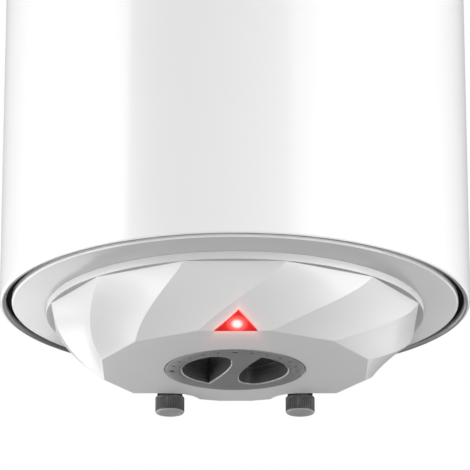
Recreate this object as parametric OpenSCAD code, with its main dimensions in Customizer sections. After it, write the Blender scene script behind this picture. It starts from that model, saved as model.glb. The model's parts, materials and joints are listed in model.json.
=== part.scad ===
// Wall-hung electric tank water heater, slim upright pattern, pipes and controls underneath.
// The heater's own axis is vertical. Inside the modules, z = 0 is the lower rim of the casing,
// x = y = 0 is the axis, +y points to the wall and -y to the room. in_frame() then moves all of it
// so that the origin is the middle of the two wall bolt holes, on the wall's surface.

/* [Casing] */
// Outside diameter of the casing
casing_d = 353; // [345:1:380]
// Height of the casing, from its lower rim to the lid's seat
casing_h = 785; // [700:5:1100]
// Thickness of the casing sheet
sheet = 0.8; // [0.5:0.1:1]
// Distance from the heater's axis to the wall
axis_to_wall = 196.5; // [194:0.5:205]

/* [Tank] */
// Outside diameter of the tank
tank_d = 300; // [290:1:310]
// Height of the middle of the tank's lower dome above the casing rim
tank_z = 25; // [24:1:30]
// Rise of each domed end
dome_rise = 50; // [46:1:52]
// Free height between the tank and the lid
top_foam = 20; // [15:1:40]
// Thickness of the tank steel
tank_wall = 1.8; // [1.5:0.1:2.5]

/* [Water pipes] */
// Distance between the two pipes
pipe_spacing = 100; // [98:1:104]
// Distance from the heater's axis back to the pipes
pipe_y = 77.5; // [76:0.5:80]
// Outside diameter of the G 1/2 thread
thread_d = 20.955; // [20.8:0.005:21]
// Outside diameter of the ribbed pipe caps
cap_d = 22.3; // [22.1:0.1:23]

/* [Swirl cover] */
// Outside diameter of the cover's disc
cover_d = 283; // [280:1:286]
// Corner radius of the flat lower face
face_r = 102.3; // [100:0.1:106]
// Depth of the lower face below the casing rim
face_z = 48.5; // [46:0.5:50]
// Angle that the twelve facets twist on the way down
twist = 30; // [20:1:32]
// Thickness of the cover's plastic
cover_wall = 2.5; // [2:0.1:3]

/* [Control knob] */
// Diameter of the knob's disc
knob_d = 104.4; // [100:0.2:106]
// Diameter of the circle that holds the finger pockets
pocket_d = 79; // [76:1:80]
// Depth of the finger pockets
pocket_depth = 14; // [10:1:14]

/* [Wall bracket] */
// Height of the wall bolts above the casing rim
bracket_z = 640; // [560:5:690]
// Distance between the two wall bolt holes
bolt_spacing = 190; // [180:1:200]
// Diameter of the wall bolt holes
bolt_hole_d = 10.5; // [9:0.5:12]
// Length of the bracket along the wall
bracket_w = 250; // [240:2:260]
// Height of the bracket plate
bracket_h = 60; // [50:1:80]

/* [Hidden] */
$fn = 96;
fine = 256;             // roundness of the saddles that follow the casing

casing_r = casing_d / 2;
casing_in = casing_r - sheet;
fit_gap = 0.3;          // between curved faces that only lie against each other
run_gap = 0.05;         // radial clearance of a running fit
eps = 0.01;

// Rolled rim of the casing and the groove inside it
rim_w = 4.9;
rim_r = rim_w / 2;
rim_leg = 8;
groove_w = 4;
seal_z = 4;
seal_h = 6;

// Bottom pan
pan_r = casing_r - rim_w - groove_w;
pan_wall = 2;
pan_side = 14;
pan_drop = 2;
pan_edge_r = 1.5;
pan_opening_r = 70;
pan_lip = 8;
pan_flat_r = cover_d / 2;

// Lid
lid_skirt = 15;
lid_edge_r = 12;
lid_wall = 2;
lid_crown = 5;

// Tank
tank_r = tank_d / 2;
dome_r = (tank_r * tank_r + dome_rise * dome_rise) / (2 * dome_rise);
shell_z0 = tank_z + dome_rise;
shell_z1 = casing_h - top_foam - dome_rise;
low_centre_z = tank_z + dome_r;
top_centre_z = shell_z1 + dome_rise - dome_r;
foam_z0 = pan_side + 2;

// Flange assembly under the tank, from the collar down
neck_in = 48;
neck_r = 54;
flange_r = 66;
collar_z = 12;
collar_h = 8;
neck_h = 22;
gasket_h = 2;
plate_h = 4;
plate_z = collar_z - gasket_h - plate_h;
bolt_r = 3;
bolt_circle = 60;
bolt_count = 6;
bolt_head_r = 5.5;
bolt_head_h = 4;

// Heating element: four upright legs in one plane
leg_r = 4.2;
leg_pitch = 16;
leg_y = -24;
leg_top = 300;
leg_turn = 70;
leg_foot = plate_z - 3;
pin_r = 1.5;
pin_foot = -6;

// Thermostat, anode and earth places on the flange
pocket_tube_y = 16;
pocket_tube_r = 5;
pocket_tube_top = 200;
pocket_tube_wall = 0.6;
probe_r = 3.5;
anode_at = [26, 20];
anode_r = 10.5;
anode_len = 300;
stud_r = 4;
earth_at = [-36, 24];
earth_r = 2;
thermostat_size = [44, 42, 26];
thermostat_y = -16;
nose_r = 6;
nose_h = 4;
spindle_r = 3;
spindle_flat = 2.3;
flat_len = 9;
spindle_z0 = -40;
spindle_z1 = -22;
button_r = 2.5;
button_at = [14, 10];
button_proud = 2.5;
button_len = 8.5;

// Water pipes
neck_pipe_r = 8.9;
pipe_bore_r = 7.2;
thread_len = 11;
thread_z = -58.5;
sleeve_r = 9.65;
sleeve_z0 = thread_z + thread_len;
sleeve_z1 = 8;
nipple_top = 60;
pan_hole_r = 14;
diffuser_r = 13;
outlet_r = 8;
outlet_wall = 1;
outlet_top = 735;
cap_floor = 1.5;
cap_chamfer = 1;

// Swirl cover: z levels, and how the corners run from the disc to the face
disc_z0 = -pan_drop - 5.8;
disc_z1 = -pan_drop;
corner_count = 12;
corner_angle = 15;
corner_r = 140.8;
corner_bulge = 25.5;
twist_lag = 0.555;
loft_steps = 12;
pipe_gap_r = 17.3;
notch_r = 24;
notch_mid_y = 87;
notch_y = notch_mid_y - notch_r;
rear_y = 84;
rear_flat = 12;
rear_slope = 0.3;
guide_wall = 2.5;
guide_h = 12;
cover_screw_at = [27, 122];
cover_screw_r = 1.75;
pilot_r = 1.4;

// Triangular lamp window in the front facet; local y runs up the facet, local z out of it
lamp_base_at = [0.5, -face_r * cos(180 / corner_count)];
lamp_tilt = 147;
lamp_base = 32;
lamp_rise = 19.75;
lamp_lean = 2;
lamp_step = 0;
lamp_gap = 0.15;
led_at = [1, 7.1];
led_r = 2.5;
holder_r = 4.5;

// Cable gland in the rear wall of the cover
gland_z = -26;
gland_hole_r = 8;
cable_r = 4;
gland_cavity_r = 5.5;
gland_throat = 11.5;
gland_r = 10.5;
gland_out = 14;
gland_in = 10;
nut_r = 11.5;
nut_h = 5;

// Knob
knob_r = knob_d / 2;
knob_hole_r = knob_r + 0.4;
knob_proud = 0.8;
knob_h = 17;
knob_z0 = -face_z - knob_proud;
pocket_r = pocket_d / 2;
lobe_r = 11;
lobe_angle = 240.6;
pocket_tip = [-19.5, 33.5];

// Terminal block
block_at = [-96, -24];
block_size = [24, 48, 16];
block_pitch = 16;
block_screw_r = 2.8;

// Wall bracket, its pad, bolts and lug
bracket_t = 2.5;
pad_h = 2.5;
saddle_y = casing_r + pad_h;
saddle_half = 38;
ear_x = 62;
bracket_bolt_r = 4;
bracket_bolt_at = [24, 16];
lug_face_y = 171;
lug_t = 3;
hex_r = 7.5;

// Lower wall spacer
spacer_z = 60;
spacer_r = 22;
spacer_head_r = 5;
spacer_screw_r = 2.1;

// Leads: routes, chosen by hand
lead_r = 1.4;
lamp_lead_r = 0.9;
lead_sides = 8;
lead_steps = 6;
live_route = [[-72, 0, -10], [-60, 0, -10], [-48, 1, -12], [-34, 0, -14], [-22, 0, -14]];
neutral_route = [[-72, -16, -10], [-62, -16, -11], [-44, -22, -16], [-28, -25, -15], [-24, -24, -6]];
load_route = [[22, -8, -12], [28, -8, -12], [34, -14, -15], [27, -22, -14], [24, -24, -6]];
earth_route = [[-72, 16, -10], [-62, 17, -11], [-46, 22, -12], [-37, 24, -7], [-36, 24, 2]];
lamp_route = [
    [2, -96.6, -31.8], [2, -90.6, -22.8], [-16, -84, -12],
    [-48, -68, -9], [-78, -42, -10], [-84, -24, -10]
];

// ---------------------------------------------------------------- helpers

module in_frame() {
    translate([0, -axis_to_wall, -bracket_z]) children();
}

module tube(r_out, r_in, z0, h) {
    translate([0, 0, z0]) difference() {
        cylinder(r = r_out, h = h);
        translate([0, 0, -1]) cylinder(r = r_in, h = h + 2);
    }
}

module rod(r, z0, h) {
    translate([0, 0, z0]) cylinder(r = r, h = h);
}

module hex_head(r, h) {
    cylinder(r = r, h = h, $fn = 6);
}

// One copy at each pipe
module at_pipes() {
    for (side = [-1, 1]) at_pipe(side) children();
}

module at_pipe(side) {
    translate([side * pipe_spacing / 2, pipe_y, 0]) children();
}

module at_flange_bolts() {
    for (i = [0 : bolt_count - 1])
        rotate([0, 0, 360 * i / bolt_count]) translate([bolt_circle, 0, 0]) children();
}

function arc_points(centre, r, a0, a1, steps) = [
    for (i = [0 : steps])
        let (a = a0 + (a1 - a0) * i / steps)
        [centre[0] + r * cos(a), centre[1] + r * sin(a)]
];

// Outline of a bent strip of even thickness whose middle line is the path, mitred at its bends
function unit(v) = v / norm(v);
function left_of(v) = [-v[1], v[0]];
function strip_side(path, d) = [
    for (i = [0 : len(path) - 1])
        let (
            before = unit(i == 0 ? path[1] - path[0] : path[i] - path[i - 1]),
            after = unit(i == len(path) - 1 ? before : path[i + 1] - path[i]),
            mitre = left_of(before) + left_of(after)
        )
        path[i] + mitre * 2 * d / (mitre * mitre)
];
function strip_outline(path, t) = concat(
    strip_side(path, t / 2),
    [for (i = [len(path) - 1 : -1 : 0]) strip_side(path, -t / 2)[i]]
);

// A round lead swept along a smooth curve through the points of its route
function curve_point(p, i, t) =
    let (
        last = len(p) - 1,
        a = p[max(i - 1, 0)],
        b = p[i],
        c = p[min(i + 1, last)],
        d = p[min(i + 2, last)]
    )
    0.5 * (2 * b + (c - a) * t + (2 * a - 5 * b + 4 * c - d) * t * t + (3 * b - a - 3 * c + d) * t * t * t);

function smooth_route(p) = concat(
    [for (i = [0 : len(p) - 2]) for (k = [0 : lead_steps - 1]) curve_point(p, i, k / lead_steps)],
    [p[len(p) - 1]]
);

module lead(route, r, first_way, last_way) {
    line = smooth_route(route);
    n = len(line);
    way = [
        for (i = [0 : n - 1])
            i == 0 ? first_way : i == n - 1 ? last_way : unit(line[i + 1] - line[i - 1])
    ];
    up = [0.1, 0.3, 0.95];
    points = [
        for (i = [0 : n - 1]) for (k = [0 : lead_sides - 1])
            let (
                u = unit(cross(way[i], up)),
                v = cross(way[i], u),
                a = 360 * k / lead_sides
            )
            line[i] + r * (cos(a) * u + sin(a) * v)
    ];
    s = lead_sides;
    faces = concat(
        [[for (k = [0 : s - 1]) k]],
        [for (i = [0 : n - 2]) for (k = [0 : s - 1])
            [i * s + k, (i + 1) * s + k, (i + 1) * s + (k + 1) % s]],
        [for (i = [0 : n - 2]) for (k = [0 : s - 1])
            [i * s + k, (i + 1) * s + (k + 1) % s, i * s + (k + 1) % s]],
        [[for (k = [s - 1 : -1 : 0]) (n - 1) * s + k]]
    );
    polyhedron(points = points, faces = faces, convexity = 4);
}

// ---------------------------------------------------------------- casing group

module outer_casing() {
    color("white") in_frame() difference() {
        rotate_extrude() {
            translate([casing_in, rim_r]) square([sheet, casing_h - rim_r]);
            translate([casing_r - rim_w, rim_r]) square([sheet, rim_leg - rim_r]);
            translate([casing_r - rim_r, rim_r]) intersection() {
                difference() {
                    circle(r = rim_r);
                    circle(r = rim_r - sheet);
                }
                translate([-rim_w, -rim_w]) square([2 * rim_w, rim_w]);
            }
        }
        bracket_bolt_holes(bracket_bolt_r + 0.5, casing_r - 10, 20);
        translate([0, casing_r + 5, spacer_z]) rotate([90, 0, 0]) cylinder(r = spacer_screw_r, h = 10);
    }
}

module top_lid() {
    outer = concat(
        [[casing_in - fit_gap, -lid_skirt], [casing_in - fit_gap, 0], [casing_r, 0]],
        arc_points([casing_r - lid_edge_r, 2], lid_edge_r, 0, 80, 8),
        [[0, 2 + lid_edge_r + lid_crown]]
    );
    inner = concat(
        [[0, 2 + lid_edge_r + lid_crown - lid_wall]],
        [for (i = [8 : -1 : 0]) arc_points([casing_r - lid_edge_r, 2], lid_edge_r - lid_wall, 0, 80, 8)[i]],
        [[casing_in - fit_gap - lid_wall, 0], [casing_in - fit_gap - lid_wall, -lid_skirt]]
    );
    color("white") in_frame() translate([0, 0, casing_h]) rotate_extrude() polygon(concat(outer, inner));
}

module bottom_pan() {
    side_in = pan_r - pan_wall;
    color("gainsboro") in_frame() difference() {
        rotate_extrude() polygon(concat(
            [[pan_opening_r, -pan_drop], [pan_flat_r, -pan_drop]],
            arc_points([pan_r - pan_edge_r, pan_edge_r], pan_edge_r, -90, 0, 6),
            [
                [pan_r, pan_side], [side_in, pan_side], [side_in, pan_wall],
                [pan_flat_r, pan_wall - pan_drop], [pan_opening_r + pan_wall, pan_wall - pan_drop],
                [pan_opening_r + pan_wall, pan_lip - pan_drop], [pan_opening_r, pan_lip - pan_drop]
            ]
        ));
        at_pipes() rod(pan_hole_r, -10, 20);
        at_cover_screws() rod(pilot_r, -10, 20);
    }
}

module rim_seal() {
    color("black") in_frame() tube(casing_r - rim_w - eps, pan_r + eps, seal_z, seal_h);
}

module insulation_foam() {
    color("lemonchiffon") in_frame() difference() {
        rod(casing_in - fit_gap, foam_z0, casing_h - foam_z0 - 1);
        rod(tank_r + fit_gap, shell_z0 - eps, shell_z1 - shell_z0 + 2 * eps);
        intersection() {
            translate([0, 0, low_centre_z]) sphere(r = dome_r + fit_gap);
            rod(tank_r + fit_gap, 0, shell_z0);
        }
        intersection() {
            translate([0, 0, top_centre_z]) sphere(r = dome_r + fit_gap);
            rod(tank_r + fit_gap, shell_z1, casing_h);
        }
        rod(flange_r + 5, 0, tank_z + 40);
        at_pipes() rod(neck_pipe_r + 0.1, 0, 80);
        lug_block(casing_r, bracket_h / 2 + 5);
        translate([0, casing_r + 1, spacer_z]) rotate([90, 0, 0]) cylinder(r = spacer_screw_r, h = 10);
        tube(casing_r, casing_in - fit_gap - lid_wall - 1, casing_h - lid_skirt - 1, lid_skirt + 2);
    }
}

// ---------------------------------------------------------------- tank

module tank_shell() {
    color("steelblue") in_frame() tube(tank_r, tank_r - tank_wall, shell_z0, shell_z1 - shell_z0);
}

module dome_sheet(centre_z, z0, h) {
    intersection() {
        translate([0, 0, centre_z]) difference() {
            sphere(r = dome_r);
            sphere(r = dome_r - tank_wall);
        }
        rod(tank_r + 10, z0, h);
    }
}

module tank_top_dome() {
    color("steelblue") in_frame() dome_sheet(top_centre_z, shell_z1, dome_rise + 10);
}

module tank_bottom_dome() {
    color("steelblue") in_frame() difference() {
        dome_sheet(low_centre_z, tank_z - 10, dome_rise + 10);
        rod(neck_r, 0, 60);
        at_pipes() rod(neck_pipe_r, 0, 80);
    }
}

module flange_collar() {
    color("slategray") in_frame() difference() {
        union() {
            rod(neck_r, collar_z, neck_h);
            rod(flange_r, collar_z, collar_h);
        }
        rod(neck_in, 0, 60);
        at_flange_bolts() rod(bolt_r + run_gap, 0, collar_z + collar_h + 1);
    }
}

module flange_gasket() {
    color("black") in_frame() difference() {
        tube(flange_r, neck_in, collar_z - gasket_h, gasket_h);
        at_flange_bolts() rod(bolt_r + run_gap, 0, 40);
    }
}

module heater_flange() {
    color("silver") in_frame() difference() {
        rod(flange_r, plate_z, plate_h);
        at_flange_bolts() rod(bolt_r + run_gap, 0, 40);
        at_element_feet() rod(leg_r + run_gap, 0, 40);
        translate([0, pocket_tube_y, 0]) rod(pocket_tube_r, 0, 40);
        translate(anode_at) rod(stud_r + run_gap, 0, 40);
        translate(earth_at) rod(earth_r + run_gap, 0, 40);
    }
}

module flange_bolts() {
    color("gold") in_frame() at_flange_bolts() {
        rod(bolt_r, plate_z - 1, collar_z + collar_h - plate_z + 2);
        translate([0, 0, plate_z - bolt_head_h]) hex_head(bolt_head_r, bolt_head_h);
    }
}

// ---------------------------------------------------------------- pieces on the flange

module at_element_feet() {
    for (side = [-1, 1]) translate([side * 1.5 * leg_pitch, leg_y, 0]) children();
}

// Half ring in the plane of the legs, opening downwards
module leg_bend() {
    rotate([90, 0, 0]) rotate_extrude(angle = 180) translate([leg_pitch / 2, 0]) circle(r = leg_r);
}

module heating_element() {
    color("firebrick") in_frame() {
        at_element_feet() {
            rod(leg_r, leg_foot, leg_top - leg_foot);
            rod(pin_r, pin_foot, leg_foot - pin_foot + 1);
        }
        for (side = [-1, 1]) {
            translate([side * leg_pitch / 2, leg_y, 0]) rod(leg_r, leg_turn, leg_top - leg_turn);
            translate([side * leg_pitch, leg_y, leg_top]) leg_bend();
        }
        translate([0, leg_y, leg_turn]) rotate([0, 180, 0]) leg_bend();
    }
}

module element_bushes() {
    color("ivory") in_frame() at_element_feet() tube(leg_r, pin_r + run_gap, leg_foot - 4, 4);
}

module thermostat_pocket() {
    color("silver") in_frame() translate([0, pocket_tube_y, plate_z - 1]) difference() {
        cylinder(r = pocket_tube_r, h = pocket_tube_top);
        translate([0, 0, -1]) cylinder(r = pocket_tube_r - pocket_tube_wall, h = pocket_tube_top);
    }
}

module anode_rod() {
    color("gray") in_frame() translate(anode_at) {
        rod(stud_r, 0, 25);
        rod(anode_r, 24, anode_len);
    }
}

module anode_nut() {
    color("goldenrod") in_frame() translate(anode_at) difference() {
        translate([0, 0, plate_z - 5]) hex_head(hex_r, 5);
        rod(stud_r + run_gap, -1, 10);
    }
}

module earth_screw() {
    color("gold") in_frame() translate(earth_at) {
        rod(earth_r, plate_z - 4, plate_h + 5);
        rod(2 * earth_r, plate_z - 4, 4);
    }
}

// ---------------------------------------------------------------- water pipes

module nipple(side) {
    at_pipe(side) difference() {
        union() {
            rod(thread_d / 2, thread_z, thread_len);
            rod(neck_pipe_r, thread_z + 1, nipple_top - thread_z - 1);
        }
        rod(pipe_bore_r, thread_z - 1, nipple_top - thread_z + 2);
    }
}

module cold_nipple() {
    color("silver") in_frame() nipple(1);
}

module hot_nipple() {
    color("silver") in_frame() nipple(-1);
}

module inlet_diffuser() {
    z0 = nipple_top - 6;
    color("whitesmoke") in_frame() at_pipe(1) difference() {
        rod(diffuser_r, z0, 24);
        rod(neck_pipe_r + run_gap, z0 - 1, 7);
        rod(diffuser_r - 3, nipple_top, 15);
        for (a = [0 : 60 : 120])
            rotate([0, 0, a]) translate([-20, -2, nipple_top + 3]) cube([40, 4, 9]);
    }
}

module hot_outlet_tube() {
    color("silver") in_frame() at_pipe(-1)
        tube(outlet_r, outlet_r - outlet_wall, nipple_top, outlet_top - nipple_top);
}

module sleeve(side) {
    at_pipe(side) tube(sleeve_r, neck_pipe_r + run_gap, sleeve_z0, sleeve_z1 - sleeve_z0);
}

module cold_sleeve() {
    color("black") in_frame() sleeve(1);
}

module hot_sleeve() {
    color("black") in_frame() sleeve(-1);
}

module pan_grommets() {
    lip = 2;
    color("dimgray") in_frame() at_pipes() {
        tube(pan_hole_r - run_gap, sleeve_r + run_gap, -pan_drop, pan_wall);
        tube(pan_hole_r + lip, sleeve_r + run_gap, -pan_drop + pan_wall, lip);
        tube(pan_hole_r + lip, sleeve_r + run_gap, -pan_drop - lip, lip);
    }
}

// Cup with a chamfered floor, open at the top
module pipe_cap(side) {
    r = cap_d / 2;
    foot = thread_z - cap_floor - 0.2;
    mouth = sleeve_z0 - 0.5;
    at_pipe(side) difference() {
        rotate_extrude() polygon([
            [0, foot], [r - cap_chamfer, foot], [r, foot + cap_chamfer], [r, mouth], [0, mouth]
        ]);
        rod(thread_d / 2 + run_gap, foot + cap_floor, 40);
    }
}

module cold_cap() {
    color("dimgray") in_frame() pipe_cap(1);
}

module hot_cap() {
    color("dimgray") in_frame() pipe_cap(-1);
}

// ---------------------------------------------------------------- controls

module thermostat_body() {
    low = -thermostat_size[2];
    color("linen") in_frame() difference() {
        union() {
            translate([-thermostat_size[0] / 2, thermostat_y, low]) cube(thermostat_size);
            rod(nose_r, low - nose_h, nose_h + 1);
            translate([0, pocket_tube_y, -1]) rod(8, 0, plate_z - 0.5);
        }
        rod(spindle_r + run_gap, low - nose_h - 1, spindle_z1 - low + nose_h + 2);
        translate(button_at) rod(button_r + run_gap, low - 1, 10);
        translate([0, pocket_tube_y, -2]) rod(probe_r, 0, 20);
    }
}

module thermostat_probe() {
    color("goldenrod") in_frame() translate([0, pocket_tube_y, -2])
        cylinder(r = probe_r, h = pocket_tube_top);
}

module d_shaft(r, flat, z0, h) {
    intersection() {
        rod(r, z0, h);
        translate([-2 * r, -2 * r, z0 - 1]) cube([2 * r + flat, 4 * r, h + 2]);
    }
}

module thermostat_spindle() {
    color("silver") in_frame() union() {
        d_shaft(spindle_r, spindle_flat, spindle_z0, flat_len);
        rod(spindle_r, spindle_z0 + flat_len, spindle_z1 - spindle_z0 - flat_len);
    }
}

module reset_button() {
    low = -thermostat_size[2] - button_proud;
    color("red") in_frame() translate(button_at) rod(button_r, low, button_len);
}

module terminal_block() {
    top = -pan_drop;
    color("ivory") in_frame() difference() {
        translate([block_at[0], block_at[1], top - block_size[2]]) cube(block_size);
        at_terminals() rod(block_screw_r + run_gap, top - block_size[2] - 1, 3);
        at_terminals() rod(block_screw_r / 2, top - block_size[2] - 1, 8);
    }
}

module at_terminals() {
    for (row = [-1 : 1]) for (x = [6, 18])
        translate([block_at[0] + x, row * block_pitch, 0]) children();
}

module terminal_screws() {
    low = -pan_drop - block_size[2];
    color("silver") in_frame() at_terminals() difference() {
        union() {
            rod(block_screw_r, low, 2);
            rod(block_screw_r / 2, low, 7);
        }
        translate([-4, -0.4, low - 1]) cube([8, 0.8, 1.8]);
    }
}

module live_lead() {
    color("saddlebrown") in_frame() lead(live_route, lead_r, [1, 0, 0], [1, 0, 0]);
}

module neutral_lead() {
    color("royalblue") in_frame() lead(neutral_route, lead_r, [1, 0, 0], [0, 0, 1]);
}

module load_lead() {
    color("saddlebrown") in_frame() lead(load_route, lead_r, [1, 0, 0], [0, 0, 1]);
}

module earth_lead() {
    color("limegreen") in_frame() lead(earth_route, lead_r, [1, 0, 0], [0, 0, 1]);
}

// The pair lies side by side at both ends and one above the other between them
module lamp_leads() {
    last = len(lamp_route) - 1;
    color("whitesmoke") in_frame() for (shift = [-1.4, 1.4]) {
        route = [
            for (i = [0 : last])
                lamp_route[i] + shift * (i == 0 || i == last ? [1, 0, 0] : [1, 0, 1])
        ];
        lead(route, lamp_lead_r, [0, sin(lamp_tilt), -cos(lamp_tilt)], [0, 1, 0]);
    }
}

// ---------------------------------------------------------------- indicator lamp

// Moves its children to the lamp window: origin on the middle of the base, local z out of the facet
module at_lamp() {
    translate([lamp_base_at[0], lamp_base_at[1], -face_z]) rotate([lamp_tilt, 0, 0]) children();
}

module lamp_prism(grow, z0, h) {
    half = lamp_base / 2 + grow;
    translate([0, 0, z0]) linear_extrude(h) polygon([
        [-half, lamp_step - grow / 2], [half, lamp_step - grow / 2], [lamp_lean, lamp_rise + grow]
    ]);
}

module lamp_lens() {
    color("red") in_frame() at_lamp() lamp_prism(0, -2.6, 3.2);
}

module lamp_holder() {
    color("ivory") in_frame() at_lamp() difference() {
        union() {
            lamp_prism(-2, -4, 1.3);
            translate(led_at) rod(holder_r, -15, 11.5);
        }
        translate(led_at) rod(led_r + run_gap, -13.5, 12);
    }
}

module indicator_led() {
    color("salmon") in_frame() at_lamp() translate(led_at) {
        rod(led_r, -13.5, 6);
        translate([0, 0, -7.5]) sphere(r = led_r);
    }
}

// ---------------------------------------------------------------- swirl cover

function corner_radius(t, inset) =
    corner_r * (1 - t) + face_r * t + corner_bulge * t * (1 - t) - inset;
function corner_turn(t) = -twist * (t - twist_lag * t * (1 - t));
function corner_z(t) = disc_z0 * (1 - t) - face_z * t;

// Solid inside the twelve twisted facets; inset and lift make the hollow inside the wall
module swirl_solid(inset, lift) {
    n = corner_count;
    points = [
        for (i = [0 : loft_steps]) for (k = [0 : n - 1])
            let (
                t = i / loft_steps,
                a = corner_angle + 360 * k / n + corner_turn(t),
                r = corner_radius(t, inset)
            )
            [r * cos(a), r * sin(a), corner_z(t) + lift]
    ];
    faces = concat(
        [[for (k = [n - 1 : -1 : 0]) k]],
        [for (i = [0 : loft_steps - 1]) for (k = [0 : n - 1])
            [i * n + k, i * n + (k + 1) % n, (i + 1) * n + (k + 1) % n]],
        [for (i = [0 : loft_steps - 1]) for (k = [0 : n - 1])
            [i * n + k, (i + 1) * n + (k + 1) % n, (i + 1) * n + k]],
        [[for (k = [0 : n - 1]) loft_steps * n + k]]
    );
    polyhedron(points = points, faces = faces, convexity = 4);
}

// Space left free behind the cover for the pipes and the wall side
module rear_space(grow, z1) {
    far = 200;
    translate([0, 0, -100]) linear_extrude(100 + z1) {
        for (side = [-1, 1]) {
            translate([side * pipe_spacing / 2, notch_mid_y]) circle(r = notch_r + grow);
            translate([side > 0 ? pipe_spacing / 2 : -pipe_spacing / 2 - far, notch_y - grow]) square(far);
            scale([side, 1]) polygon([
                [rear_flat, rear_y - grow], [rear_flat, far],
                [2 * notch_r, far], [2 * notch_r, rear_y - grow - rear_slope * (2 * notch_r - rear_flat)]
            ]);
        }
        translate([-far, rear_y - grow]) square([2 * far, far]);
    }
}

module at_cover_screws() {
    for (side = [-1, 1]) translate([side * cover_screw_at[0], cover_screw_at[1], 0]) children();
}

module cover_shell() {
    plate_z1 = disc_z0 + cover_wall;
    difference() {
        union() {
            rod(cover_d / 2, disc_z0, disc_z1 - disc_z0);
            difference() {
                swirl_solid(0, 0);
                rear_space(0, disc_z0);
            }
        }
        rod(cover_d / 2 - cover_wall, plate_z1, 10);
        difference() {
            swirl_solid(0.8 * cover_wall, cover_wall);
            rear_space(cover_wall, plate_z1);
        }
    }
}

module swirl_cover() {
    color("white") in_frame() difference() {
        union() {
            cover_shell();
            tube(knob_hole_r + guide_wall, knob_hole_r, -face_z + 1, guide_h);
            at_pipes() rod(pipe_gap_r + 0.8 * cover_wall, disc_z0, disc_z1 - disc_z0);
            at_cover_screws() rod(3 * cover_screw_r, disc_z0, disc_z1 - disc_z0);
        }
        rod(knob_hole_r, -60, 30);
        at_pipes() rod(pipe_gap_r, -60, 70);
        at_cover_screws() rod(cover_screw_r, -60, 70);
        at_lamp() lamp_prism(lamp_gap, -6, 12);
        translate([0, rear_y + 5, gland_z]) rotate([90, 0, 0]) cylinder(r = gland_hole_r, h = 15);
    }
}

module cover_screws() {
    color("silver") in_frame() at_cover_screws() difference() {
        union() {
            rod(pilot_r, disc_z0 - 1, 11);
            rod(2 * cover_screw_r, disc_z0 - 2, 2);
        }
        for (a = [0, 90]) rotate([0, 0, a]) translate([-2, -0.4, disc_z0 - 3]) cube([4, 0.8, 2]);
    }
}

// Runs along +y through the cover's rear wall
module cable_gland() {
    color("black") in_frame() translate([0, rear_y, gland_z]) rotate([-90, 0, 0]) difference() {
        union() {
            translate([0, 0, -gland_in]) cylinder(r = gland_hole_r - run_gap, h = gland_in + 1);
            cylinder(r = gland_r, h = 4, $fn = 6);
            translate([0, 0, 3]) cylinder(r = gland_r - 1.5, h = gland_out - 3);
        }
        cylinder(r = cable_r, h = gland_out + 1);
        translate([0, 0, -gland_in - 1])
            cylinder(r = gland_cavity_r, h = gland_in + 1 + gland_out - gland_throat);
    }
}

module gland_nut() {
    color("black") in_frame() translate([0, rear_y - cover_wall - nut_h, gland_z])
        rotate([-90, 0, 0]) difference() {
            hex_head(nut_r, nut_h);
            translate([0, 0, -1]) cylinder(r = gland_hole_r, h = nut_h + 2);
        }
}

// ---------------------------------------------------------------- knob

function bezier(a, b, c, steps) = [
    for (i = [1 : steps])
        let (t = i / steps)
        (1 - t) * (1 - t) * a + 2 * t * (1 - t) * b + t * t * c
];

// Left finger pocket: outer arc, round front lobe, then the flank of the S-shaped grip bar
function pocket_outline() =
    let (
        tip_angle = atan2(pocket_tip[1], pocket_tip[0]),
        lobe = (pocket_r - lobe_r) * [cos(lobe_angle), sin(lobe_angle)],
        lobe_end = lobe + lobe_r * [cos(370), sin(370)]
    )
    concat(
        arc_points([0, 0], pocket_r, tip_angle, lobe_angle, 20),
        arc_points(lobe, lobe_r, lobe_angle + 10, 370, 10),
        bezier(lobe_end, [-0.5, -7], pocket_tip, 8)
    );

module control_knob() {
    color("dimgray") in_frame() difference() {
        translate([0, 0, knob_z0]) rotate_extrude() polygon([
            [0, 0], [knob_r - knob_proud, 0], [knob_r, knob_proud], [knob_r, knob_h], [0, knob_h]
        ]);
        for (a = [0, 180]) rotate([0, 0, a])
            translate([0, 0, knob_z0 - 1]) linear_extrude(pocket_depth + 1) polygon(pocket_outline());
        d_shaft(spindle_r + run_gap, spindle_flat + run_gap, spindle_z0 - 1, 20);
    }
}

// ---------------------------------------------------------------- wall bracket group

module bracket_bolt_holes(r, y0, len_y) {
    for (x = [-1, 1]) for (z = [-1, 1])
        translate([x * bracket_bolt_at[0], y0, bracket_z + z * bracket_bolt_at[1]])
            rotate([-90, 0, 0]) cylinder(r = r, h = len_y);
}

module wall_bracket() {
    wall_line = axis_to_wall - bracket_t / 2;
    saddle_line = saddle_y + bracket_t / 2;
    path = [
        [-bracket_w / 2, wall_line], [-ear_x, wall_line], [-saddle_half - 4, saddle_line],
        [saddle_half + 4, saddle_line], [ear_x, wall_line], [bracket_w / 2, wall_line]
    ];
    color("lightgray") in_frame() difference() {
        translate([0, 0, bracket_z - bracket_h / 2])
            linear_extrude(bracket_h) polygon(strip_outline(path, bracket_t));
        bracket_bolt_holes(bracket_bolt_r + 0.5, saddle_y - 1, 20);
        for (x = [-1, 1]) translate([x * bolt_spacing / 2, axis_to_wall - 10, bracket_z])
            rotate([-90, 0, 0]) cylinder(d = bolt_hole_d, h = 20);
    }
}

module bracket_pad() {
    color("black") in_frame() difference() {
        translate([-saddle_half, casing_r - 20, bracket_z - bracket_h / 2])
            cube([2 * saddle_half, 20 + pad_h, bracket_h]);
        rod(casing_r + fit_gap / 3, bracket_z - bracket_h, 2 * bracket_h, $fn = fine);
        bracket_bolt_holes(bracket_bolt_r + 0.5, casing_r - 30, 40);
    }
}

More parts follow.
